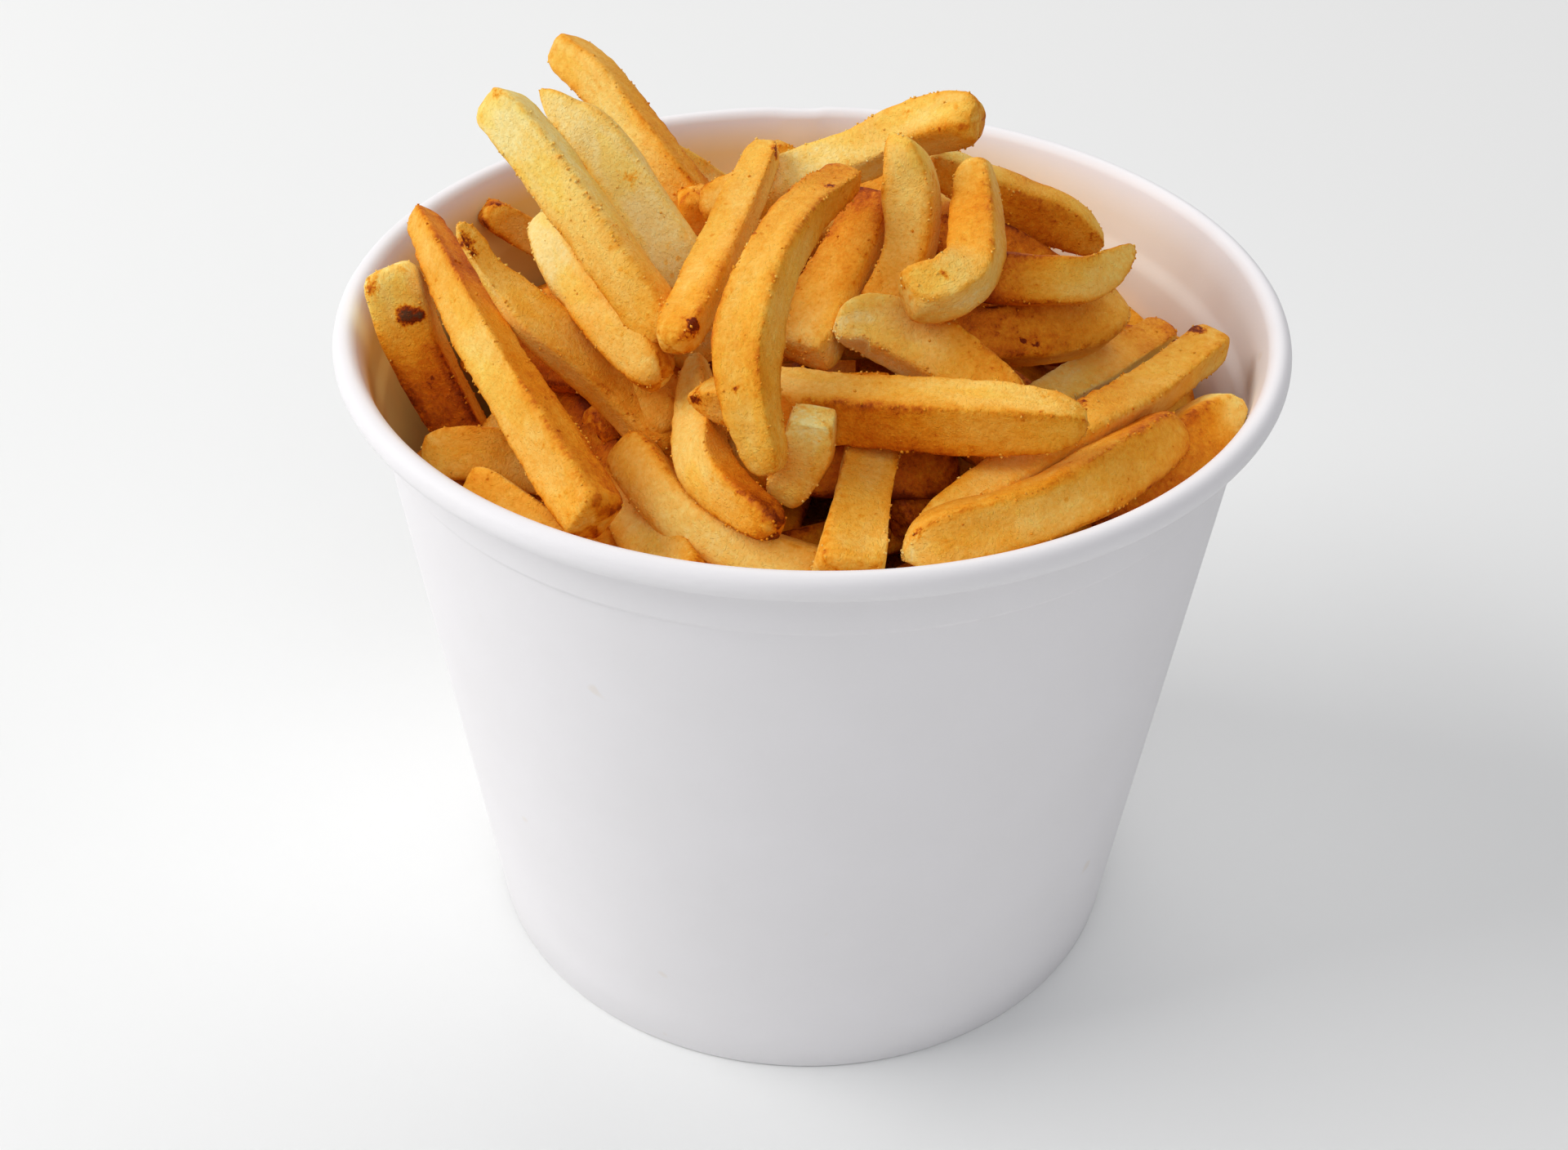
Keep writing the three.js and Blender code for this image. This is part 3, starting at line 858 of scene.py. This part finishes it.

# %% [markdown]
# ## The heap
#
# Every fry that shows has its own line: the places that its middle runs through, in
# millimetres, with a fourth number where it is thinner or fatter and a fifth where it
# is browner or paler. Before that stand its width, thickness and turn, how blunt its two
# ends are, and how toasted its broad and its narrow faces are. Where other fries shade a
# fry, part of that browning is painted shade. A physics drop would make a heap too, but
# not this one, and a heap reads by where its few boldest fries point.

# %% The fries on top
TOP_FRIES = [
    ((7.3, 6.2, 30), (0.75, 0.9), (0.3, 0.55),
     [(-47, 57.5, 141, 0.95), (-39.5, 49, 138.5, 1.05), (-32, 39.5, 134, 1.05),
      (-25.5, 32, 129, 1, 0.15), (-18.5, 29, 121, 1, 0.2)]),
    ((8, 7.5, 20), (0.6, 0.9), (0.05, 0.1),
     [(-51, 5, 153), (-44, -2, 149, 1, -0.05), (-22, -26, 129, 0.9, 0.5)]),
    ((9, 6, 12), (0.4, 0.9), (0.03, 0.15),
     [(-44.5, 15.5, 150.5, 0.3), (-41, 13.5, 148, 0.6), (-35, 10.5, 143.5), (-24, 0, 132),
      (-18, -4, 124)]),
    ((6.4, 6.4, 10), (0.75, 0.9), (0.5, 0.8),
     [(-59.5, 38.5, 117.5, 0.95), (-53.5, 40, 112.5, 1, -0.15), (-45, 41.5, 105.5, 1, -0.15)]),
    ((8.5, 7.5, 20), (0.5, 0.75), (0.1, 0.45),
     [(-43.5, 4, 134, 0.9, -0.15), (-39.5, -7, 131.5, 1, -0.15), (-30, -21, 127.5, 1, 0.3),
      (-23, -30, 124, 0.85, 0.2)]),
    ((8, 6.5, 35), (0.4, 1), (0.48, 0.82),
     [(-65.5, 9, 131.5, 0.5, -0.1), (-59, -5, 129, 0.85), (-50, -23, 125.5, 1.05, -0.15),
      (-31, -55, 115.5, 1.05, -0.05)]),
    ((8.6, 5, -30), (0.5, 0.9), (0.5, 0.35),
     [(-54.5, -12, 140, 0.4), (-50.5, -14.5, 134.5, 0.5, -0.1), (-47, -16, 131, 0.75, -0.15),
      (-41.5, -19, 126.5), (-30.5, -19.5, 117.5, 1.25, 0.2), (-20, -24, 109.5, 1.5, 0.05)]),
    ((8.4, 7.5, 10), (0.8, 1), (0.82, 0.55),
     [(-68.5, -5, 128, 1, -0.8), (-63.5, -9.5, 114.5), (-56.5, -14, 102, 1, 0.08)]),
    ((8.5, 8, 0), (0.6, 0.9), (0.5, 0.4),
     [(-60.5, -26.5, 106.5, 0.9, -0.35), (-52, -27, 107.5, 1, 0.1), (-39, -27, 103.5, 1, -0.5)]),
    ((7, 7, 0), (0.5, 0.9), (0.62, 0.3), [(-50.5, -42.5, 112, 0.9), (-46.5, -46, 112), (-30, -56, 107)]),
    ((9, 8, 0), (0.8, 1), (0.35, 0.6),
     [(-50, 8, 101, 1, 0.3), (-34.5, -18.5, 102, 1, 0.7), (-25.5, -41, 104, 1, -0.1),
      (-18, -58, 104.5, 1, -0.05)]),
    ((8.5, 7.5, 8), (0.5, 0.9), (0.3, 0.35),
     [(-29, -29, 111, 0.9, 0.4), (-15.5, -49, 109, 1, -0.1), (12, -60, 105, 1, 0.3)]),
    ((7.8, 6.3, 35), (0.6, 0.7), (0.35, 0.7),
     [(-18, -20, 122, 0.45, -0.35), (-17, -33, 118, 0.95, -0.2), (-14.5, -45, 117, 1.05, -0.1),
      (-5, -57, 116, 0.7, 0.35)]),
    ((8.6, 7.4, 25), (0.8, 0.75), (0.52, 0.5),
     [(5.5, -4, 145.5, 0.7, 0.2), (-1.5, -18, 146, 0.85, 0.1), (-6.5, -32, 144, 0.85, -0.1),
      (-9, -42, 138.5), (-8.5, -48, 132.5, 0.9), (-5.5, -53, 123, 0.7, -0.15)]),
    ((7.6, 6, 25), (0.5, 0.6), (0.43, 0.35),
     [(-7.5, 17.5, 141, 0.7, -0.12), (-15.5, -16, 135.5), (-20.5, -34, 132.5, 0.8, 0.08)]),
    ((6, 6, 0), (0.5, 1), (0.45, 0.5), [(-7, 19.5, 139, 0.8), (1, 25, 128)]),
    ((8.2, 7, -20), (0.9, 0.8), (0.1, 0.05),
     [(-18, 20, 128, 0.9, 0.4), (-3, 16, 135.5, 0.95, -0.05), (8, 15.5, 140.5, 0.9, 0.05),
      (15, 14, 145, 1, 0.1), (21.5, 10.5, 148.5, 1.05, 0.2), (26, 7.5, 150, 1, 0.35)]),
    ((8.4, 6.5, 15), (0.3, 0.8), (0.3, 0.3),
     [(12, -1.5, 151.5, 0.3, -0.1), (13.5, -3.5, 149, 0.7, -0.1), (15, -5, 144, 1, 0.05),
      (15.5, -8.5, 138, 0.9, 0.1), (14, -12, 133, 0.8, 0.2), (10.5, -16.5, 128, 0.8, 0.4)]),
    ((7, 6.5, 25), (0.95, 1), (0.5, 0.35),
     [(25.5, 0.5, 145, 0.9, -0.12), (25.5, -8, 141.5, 1.1, 0.2), (24.5, -18.5, 138.5, 1.1, 0.05),
      (20.5, -25, 138, 1.1, -0.2), (14.5, -27.5, 137.5, 1, -0.2)]),
    ((8, 8, 0), (0.8, 1), (0.97, 0.9), [(17, 14.5, 125.5), (30, 14.5, 124.5), (45, 14.5, 114.5)]),
    ((8, 6.5, 35), (0.9, 0.5), (0.72, 0.45),
     [(19.5, 19.5, 137, 0.8, -0.3), (34.5, 20, 129, 1, 0.15), (43, 21, 125.5, 0.95, 0.05),
      (50, 21, 121, 0.7, -0.2)]),
    ((8, 6.5, 8), (0.9, 0.4), (0.45, 0.7),
     [(24, -13, 133.5, 0.9, 0.7), (37.5, -12.5, 132.5, 0.95, -0.05), (45, -8, 131, 0.95, -0.1),
      (52, 0, 132, 0.35, -0.15)]),
    ((9.3, 8, 0), (0.9, 0.7), (0.85, 0.7),
     [(15, -16, 125), (26.5, -16, 124, 1, 0.05), (43.5, -6, 121, 1, -0.3), (50, 3, 120, 0.9, -0.35)]),
    ((7.2, 5.8, -25), (0.9, 0.9), (0.4, 0),
     [(35.5, -17, 110.5), (41.5, -10, 110.5, 1, -0.4), (50, -2, 111, 1, 0.05),
      (60.5, 10.5, 110.5, 0.95, 0.35)]),
    ((7.4, 6.6, 35), (0.95, 0.5), (0.5, 0.35),
     [(65.5, -5.5, 117.5, 0.95), (52, -23, 118, 1, 0.05), (37, -40, 120), (17, -55, 114, 0.7, -0.1)]),
    ((9.2, 8, 10), (0.5, 0.9), (0.5, 0.6),
     [(13.5, -61, 114, 0.55, -0.45), (20, -59, 116), (34, -54, 118), (45.5, -43.5, 118, 1, 0.05),
      (55.5, -29.5, 115.5, 0.9, 0.25)]),
    ((9.5, 8, 0), (0.6, 1), (0.8, 0.5),
     [(68.5, -21.5, 114, 0.9, -0.75), (61, -26, 111, 1.1, -0.1), (43.5, -45, 107, 1.1, 0.2)]),
    ((9.5, 8, -10), (0.5, 0.9), (0.25, 0.1),
     [(4, -24, 129, 0.6, -0.25), (9, -22, 129, 0.9, -0.1), (17.5, -25, 127, 1, 0.1),
      (30, -34, 122, 1, 0.45)]),
    ((8.8, 8.2, 40), (0.5, 0.6), (0.65, 0.45),
     [(-18, -34.5, 123.5, 0.35), (-8, -37.5, 125, 0.95, -0.15), (10, -41.5, 126, 1, 0.1),
      (30, -47, 128.5, 0.9, -0.1), (39, -49, 129.5, 0.6)]),
    ((8.1, 7.5, 0), (0.9, 0.8), (0.3, 0.35),
     [(0.5, -47.5, 129, 0.95, -0.35), (-0.5, -47, 121.5, 1, 0.15), (-3.5, -47, 114.5, 0.8, -0.15)]),
    ((9.5, 7, 0), (1, 1), (0.5, 0.45), [(11, -28, 120, 1, 0.1), (6, -64, 113, 1, -0.2)]),
    ((9.2, 7.2, 25), (0.8, 0.9), (0.6, 0.45), [(10.5, 2, 138.5, 1, 0.35), (-1.5, -22, 124.5, 1, -0.3)]),
    ((6, 5, 0), (0.7, 1), (0.1, 0.3), [(-27, 38, 129.5, 0.9), (-16, 43, 119)]),
    ((5.2, 5.5, 0), (0.9, 1), (0.5, 0.55), [(-21, 26, 127), (-19.5, 27.5, 118)]),
    ((8, 8, 0), (0.9, 1), (0.85, 0.7),
     [(13, -40, 106, 1, 0.1), (22, -32, 106.5, 1, -0.1), (42, -10, 103)]),
    ((7, 7, 0), (0.9, 1), (0.5, 0.5), [(-4, -26, 119), (12, -26, 119)]),
]
fries_on_top = lay_fries("fries_on_top", TOP_FRIES, step=0.8, first_number=0)

# %% [markdown]
# ## The back slope
#
# From the front the far side of the heap can't be seen, so it needs no fry in particular.
# It still gets whole fries, plain ones laid down from the crown to the rim, because the
# bucket may be turned round. Their points stand further apart, which saves triangles.

# %% The fries of the back slope
BACK_FRIES = [
    ((9, 8, 0), (0.8, 0.8), (0.3, 0.52), [(-2, 30, 117), (2, 46, 115), (7, 62, 109)]),
    ((9, 8, 10), (0.8, 0.7), (0.52, 0.77), [(-14, 30, 114), (-18, 46, 109), (-24, 59, 100)]),
    ((9.5, 8, -10), (0.8, 0.6), (0.38, 0.61), [(13, 30, 120), (19, 45, 117), (24, 58, 111)]),
    ((9, 9, 0), (0.8, 0.8), (0.6, 0.46), [(31, 30, 114), (36, 42, 109), (40, 52, 101)]),
    ((9, 8, 0), (0.8, 0.8), (0.47, 0.71), [(-28, 28, 110), (-38, 38, 104), (-48, 44, 96)]),
    ((9, 8, 0), (0.8, 0.8), (0.33, 0.56), [(-32, 6, 108), (-46, 18, 104), (-57, 22, 97)]),
    ((9, 8, 0), (0.6, 0.8), (0.55, 0.4), [(-31, 55, 99), (-14, 64, 101), (5, 64, 103)]),
    ((9, 9, 0), (0.8, 0.8), (0.41, 0.65), [(9, 64, 98), (26, 58, 100), (41, 52, 97)]),
    ((8.5, 8, 0), (0.8, 0.8), (0.63, 0.5), [(44, 47, 96), (56, 36, 97), (62, 22, 93)]),
    ((9, 8, 0), (0.8, 0.8), (0.5, 0.74), [(-57, 28, 95), (-47, 40, 97), (-34, 53, 94)]),
    ((8, 8, 0), (0.8, 0.8), (0.62, 0.6), [(60, -2, 92), (63, 8, 97), (61, 20, 101)]),
    ((9, 8, 0), (0.8, 0.8), (0.58, 0.44), [(38, 30, 110), (48, 22, 106), (58, 10, 98)]),
    ((9, 8, 0), (0.8, 0.8), (0.45, 0.69), [(-11, 4, 126), (-8, 36, 116)]),
    ((9, 9, 0), (0.8, 0.8), (0.31, 0.53), [(9, -6, 127), (10, 10, 127), (12, 28, 122)]),
    ((9, 9, 0), (0.8, 0.8), (0.53, 0.78), [(26, -2, 122), (27, 12, 121), (28, 30, 116)]),
    ((9, 8, 0), (0.8, 0.8), (0.39, 0.63), [(-30, 2, 120), (-26, 18, 119), (-20, 36, 115)]),
    ((8.5, 8, 0), (0.7, 0.8), (0.7, 0.6), [(-8, 56, 112), (6, 60, 114), (22, 52, 111)]),
    ((7.5, 7.5, 0), (0.7, 0.8), (0.48, 0.72), [(-34.5, 33, 115), (-24, 40, 116), (-16, 41, 114)]),
]
lay_fries("fries_at_the_back", BACK_FRIES, step=1.0, first_number=100)

# %% [markdown]
# ## Between the fries
#
# In each gap between the top fries one sees a little of the next fry down. A few fries
# are laid across those places on purpose, which takes fewer of them than filling the
# heap evenly would. Most are browned dark, which is painted shade, so that a gap reads
# as depth.

# %% The fries that show between the others
LOWER_FRIES = [
    # the dark browning of most of these fries is painted shade in the gaps
    ((9, 9, 0), (0.8, 0.8), (0.15, 0.1), [(-22, -8, 117), (0, -10, 121), (18, -8, 121)]),
    ((9, 9, 0), (0.8, 0.8), (0.9, 0.95),
     [(-12, -34, 112, 1, -0.7), (4, -38, 113), (22, -34, 111, 1, 0.1)]),
    ((9, 9, 0), (0.8, 0.8), (0.72, 0.85), [(-44.5, -28, 97), (-28.5, -38, 93), (-8, -46, 95)]),
    ((9, 9, 0), (0.8, 0.8), (0.72, 0.85), [(30, -50, 104), (44, -38, 105), (56, -20, 103)]),
    ((9, 9, 0), (0.8, 0.8), (0.72, 0.85), [(40, -20, 106), (44, -6, 102), (52, 6, 96)]),
    ((9, 9, 0), (0.8, 0.8), (0.4, 0.6), [(-52, -18, 101), (-46, 0, 103), (-48, 20, 99)]),
    ((8, 8, 0), (0.8, 0.8), (0.55, 0.65), [(-36, -4, 121, 1, -0.3), (-30, -16, 117), (-22, -26, 111)]),
    ((9, 9, 0), (0.8, 0.8), (0.72, 0.85), [(24, -60, 103), (6, -64, 101), (-12, -62, 99)]),
    ((9, 9, 0), (0.8, 0.8), (0.8, 0.8), [(22, -30, 118), (32, -36, 116), (44, -30, 114)]),
    ((9, 9, 0), (0.8, 0.8), (0.72, 0.85), [(-62, -12, 96), (-54, -34, 98), (-40, -52, 97)]),
]
lay_fries("fries_between", LOWER_FRIES, step=1.1, first_number=200)

# %% [markdown]
# ## The crumbs
#
# Frying leaves grains of crust, most of them along the edges. A bump can't stand out
# from the outline, so each grain is a real lump: a small eight-sided body with its own
# size and turn, set on a point of a fry. All of them together are one mesh.

# %% Crumbs on the edges
CRUMBS = 2600
CRUMB_SIZE = 0.42 * MM
CRUMBS_FROM = 100 * MM  # fries below this height get none
STRAY = 0.04  # how likely a crumb is on a face, where 1 is a sharp edge
CRUMB_CORNERS = np.array([(1, 0, 0), (-1, 0, 0), (0, 1, 0), (0, -1, 0), (0, 0, 1), (0, 0, -1)])
CRUMB_SIDES = np.array([
    (0, 2, 4), (2, 1, 4), (1, 3, 4), (3, 0, 4), (2, 0, 5), (1, 2, 5), (3, 1, 5), (0, 3, 5),
])


def scatter_crumbs(fries, size, seed):
    """Grains of crust that cling to the fries, most of them along the edges, as one mesh."""
    rng = np.random.default_rng(seed)
    places = read_points(fries.data.vertices, "co", 3)
    normals = read_points(fries.data.vertices, "normal", 3)
    edge = read_points(fries.data.attributes["edge"].data, "value")
    toast = read_points(fries.data.attributes["toast"].data, "value")
    patches = np.clip(ripple(places / MM, size=6, seed=21) + 0.6, 0.1, 1)
    likely = STRAY + edge**2
    likely *= (places[:, 2] > CRUMBS_FROM) * patches
    chosen = rng.choice(len(places), CRUMBS, replace=False, p=likely / likely.sum())

    corners = len(CRUMB_CORNERS)
    widths = size * rng.uniform(0.45, 1.0, (CRUMBS, 1, 1)) * rng.uniform(0.6, 1.0, (CRUMBS, corners, 1))
    spun = np.linalg.qr(rng.normal(size=(CRUMBS, 3, 3)))[0]
    points = places[chosen][:, None, :] + (CRUMB_CORNERS * widths) @ spun
    points += normals[chosen][:, None, :] * 0.1 * size
    faces = corners * np.arange(CRUMBS)[:, None, None] + CRUMB_SIDES
    mirrored = np.linalg.det(spun) < 0
    faces[mirrored] = faces[mirrored][:, :, ::-1]

    crumbs = bpy.data.meshes.new("crumbs")
    crumbs.from_pydata(points.reshape(-1, 3).tolist(), [], faces.reshape(-1, 3).tolist())
    crumbs.shade_smooth()
    toasted = np.clip(toast[chosen] + rng.uniform(-0.15, 0.35, CRUMBS), 0, 0.8)
    write_points(crumbs, "toast", np.repeat(toasted, corners))
    write_points(crumbs, "stick", points.reshape(-1, 3) / MM)
    crumbs.materials.append(potato.material)
    piece = bpy.data.objects.new("crumbs", crumbs)
    scene.collection.objects.link(piece)
    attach(piece, "root")
    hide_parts("fries")
    print("crumbs:", len(crumbs.polygons), "triangles")


scatter_crumbs(fries_on_top, CRUMB_SIZE, seed=5)

# %% [markdown]
# ## The bed and the core
#
# Under the fries that were placed lie loose ones that only show through gaps. They are
# laid like the seeds of a sunflower, which covers a round area evenly with no rows. The
# core below them stands for the fries packed in the bucket: only its top can be
# glimpsed, so it is a low dome whose surface carries the ridges of buried sticks. Both
# are browned dark all over, which is painted shade deep in the heap.

# %% The bed
FRY = 8.5  # these four are in mm, like the places of the fries
PACKED_EDGE = 88
PACKED_CROWN = 118
BED_LENGTH = 46


def packed_top(radius):
    """Height of the dome over which the bed is laid."""
    return PACKED_CROWN - (PACKED_CROWN - PACKED_EDGE) * (radius / (1000 * RIM_RADIUS)) ** 2


def bed_fries(amount, sink):
    """Plain fries all over the dome: along the wall at the rim, at any angle in the middle.

    The sines stand in for chance, so that the bed is the same each time.
    """
    golden_angle = math.pi * (3 - math.sqrt(5))
    reach = 1000 * (outside((PACKED_EDGE - sink) * MM) - BOARD) - FRY - 0.9 * sink
    fries = []
    for k in range(amount):
        outward = math.sqrt((k + 0.5) / amount)
        spin = k * golden_angle
        heading = spin + math.pi / 2 + (1 - outward) * k + 0.5 * math.sin(2.9 * k)
        half = BED_LENGTH / 2 + 5 * math.sin(2.3 * k)
        tilt = 0.18 * math.sin(3.1 * k)
        level = packed_top(reach * outward) + FRY / 4 + 2 * math.sin(1.7 * k) - sink
        middle = Vector((reach * outward * math.cos(spin), reach * outward * math.sin(spin), level))
        run = Vector((math.cos(heading), math.sin(heading), tilt)).normalized() * half
        # dark browning on every loose fry: painted shade deep in the heap
        toast = (0.8 + 0.1 * math.sin(5.3 * k), 0.9 + 0.1 * math.sin(4.1 * k))
        fries.append(((FRY, FRY, 0), (0.8, 0.8), toast, [tuple(middle - run), tuple(middle + run)]))
    return fries


loose_fries = bed_fries(amount=12, sink=6) + bed_fries(amount=34, sink=13)
lay_fries("fries_in_the_bed", loose_fries, step=1.3, first_number=300)

# %% The core
CORE_SINK = 17 * MM
CORE_GAP = 1.5 * MM
CORE_REST = 0.3 * MM
CORE_RINGS = 41
core_floor = BASE_LIFT + BOARD + CORE_REST
core_radius = outside(PACKED_EDGE * MM - CORE_SINK) - BOARD - CORE_GAP
core_outline = [
    (PINHOLE, core_floor),
    (outside(core_floor) - BOARD - CORE_GAP, core_floor),
    *[(r + PINHOLE, packed_top(r / MM) * MM - CORE_SINK) for r in np.linspace(core_radius, 0, CORE_RINGS)],
]


def buried_sticks(radius, height, angle):
    """Ridges and hollows on top of the core, as the backs of sticks make."""
    x, y = 1000 * radius * np.cos(angle), 1000 * radius * np.sin(angle)
    places = np.stack([x.ravel(), y.ravel(), np.zeros(x.size)], axis=1)
    relief = 1.6 * ripple(places, size=9, seed=7) + 0.8 * ripple(places, size=4, seed=8)
    top = height > PACKED_EDGE * MM - CORE_SINK - 1 * MM
    return radius, height + top * relief.reshape(radius.shape) * MM


core = turned("fries_core", core_outline, potato.material, buried_sticks)
core_places = read_points(core.data.vertices, "co", 3)
write_points(core.data, "stick", core_places * 1000)
# the core is browned fully all over: painted shade under the heap
write_points(core.data, "toast", np.ones(len(core_places)))
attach(core, "root")
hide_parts("fries")
print("core:", len(core.data.polygons), "faces")

# %% [markdown]
# ## The floor
#
# The bucket stands on a plain matte surface that catches its shadow. One flat face does,
# wide enough to fill the camera's view, and it lies a hair below the foot so that the
# two never share a plane. It is stage, not part of the bucket.

# %% The floor
FLOOR_HALF = 3.0
FLOOR_DROP = 0.1 * MM

sweep = Finish("white_sweep")
sweep.surface({"Base Color": colour(240, 241, 240), "Roughness": 0.9})
floor_corners = [(FLOOR_HALF * x, FLOOR_HALF * y, 0) for x, y in ((-1, -1), (1, -1), (1, 1), (-1, 1))]
floor_mesh = bpy.data.meshes.new("floor")
floor_mesh.from_pydata(floor_corners, [], [(0, 1, 2, 3)])
floor_mesh.materials.append(sweep.material)
floor = bpy.data.objects.new("floor", floor_mesh)
floor.location.z = -FLOOR_DROP
scene.collection.objects.link(floor)
floor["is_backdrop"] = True
print(f"floor {2 * FLOOR_HALF:.0f} m across")

# %% [markdown]
# ## The size of the dressed bucket
#
# The box round everything that shows is set beside the frame's own box, because the
# dressed bucket has to be as big as the solids.

# %% The size of the dressed bucket
shown_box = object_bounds()
for side, before, after in zip("xyz", cad_box[1] - cad_box[0], shown_box[1] - shown_box[0]):
    print(f"{side}: frame {1000 * before:.1f} mm, shown {1000 * after:.1f} mm")
